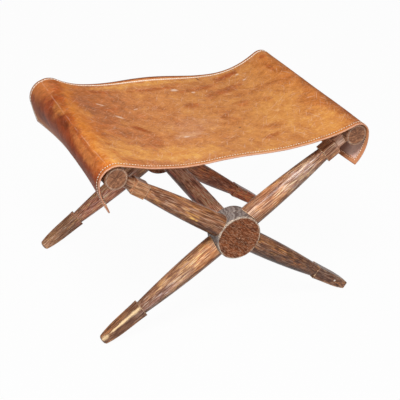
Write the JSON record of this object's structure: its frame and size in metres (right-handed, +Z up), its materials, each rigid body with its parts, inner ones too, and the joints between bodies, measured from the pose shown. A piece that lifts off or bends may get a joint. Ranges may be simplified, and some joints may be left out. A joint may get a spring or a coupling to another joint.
{
  "type": "folding sling stool",
  "caption": "X-frame folding stool: turned wooden limbs crossing at round hubs, one long stretcher, two rails and a stitched leather sling seat.",
  "frame": {"origin": "on the floor, under the middle of the stool, midway between the front and back hubs and between the two rails", "axes": "+Z up; Y runs along the rails and the stretcher, with -Y the front; +X to the right rail"},
  "size_m": [0.612, 0.4704, 0.4345],
  "materials": {
    "turned_oak": "dark stained oak, worn satin",
    "hub_oak": "dark stained oak, red-brown face, worn rim",
    "rail_oak": "dark stained oak, worn satin",
    "peg_oak": "oak, cut flush",
    "saddle_leather": "tan saddle leather, polished by use, pale stitched edges",
    "strip_leather": "plain strap leather",
    "brass": "dull aged brass"
  },
  "bodies": {
    "frame_a": {"front_left_arm": "turned_oak", "back_left_arm": "turned_oak", "front_right_leg": "turned_oak", "back_right_leg": "turned_oak", "front_hub_outer_disc": "hub_oak", "back_hub_inner_disc": "hub_oak", "left_rail": "rail_oak", "left_rail_pegs": "peg_oak", "left_anchor_strip": "strip_leather", "left_strip_tacks": "brass", "seat_sling": "saddle_leather"},
    "frame_b": {"front_right_arm": "turned_oak", "back_right_arm": "turned_oak", "front_left_leg": "turned_oak", "back_left_leg": "turned_oak", "front_hub_inner_disc": "hub_oak", "back_hub_outer_disc": "hub_oak", "right_rail": "rail_oak", "right_rail_pegs": "peg_oak", "right_anchor_strip": "strip_leather", "right_strip_tacks": "brass", "stretcher": "turned_oak", "hub_washers": "brass", "hub_screws": "brass"}
  },
  "joints": [
    {"name": "fold", "type": "hinge", "parent": "frame_a", "child": "frame_b", "pos_m": [0, 0, 0.2125], "axis": [0, -1, 0], "range_deg": [0, 52], "deforming": ["seat_sling"]}
  ]
}
